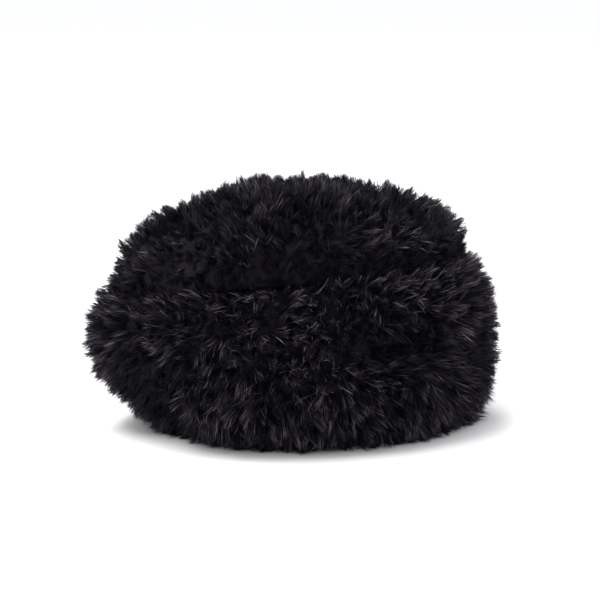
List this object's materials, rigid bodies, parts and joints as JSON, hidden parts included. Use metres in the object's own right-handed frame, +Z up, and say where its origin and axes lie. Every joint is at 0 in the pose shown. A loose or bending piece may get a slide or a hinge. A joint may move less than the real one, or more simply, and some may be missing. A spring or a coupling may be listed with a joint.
{
  "type": "fur beanie",
  "caption": "Long-pile fur beanie with a deep turned-up cuff, hollow and open below, resting on its rim",
  "frame": {"origin": "middle of the hat's outline, on the surface that its rim rests on", "axes": "+Z up through the crown, -Y towards the front (the forehead side), +X towards the wearer's left"},
  "size_m": [0.279, 0.332, 0.1925],
  "materials": {
    "knit": "matt knitted backing",
    "fur": "long soft pile in locks, slightly glossy tips"
  },
  "bodies": {
    "root": {"crown": "knit", "cuff": "knit", "crown_fur": "fur", "cuff_fur": "fur"}
  },
  "joints": []
}
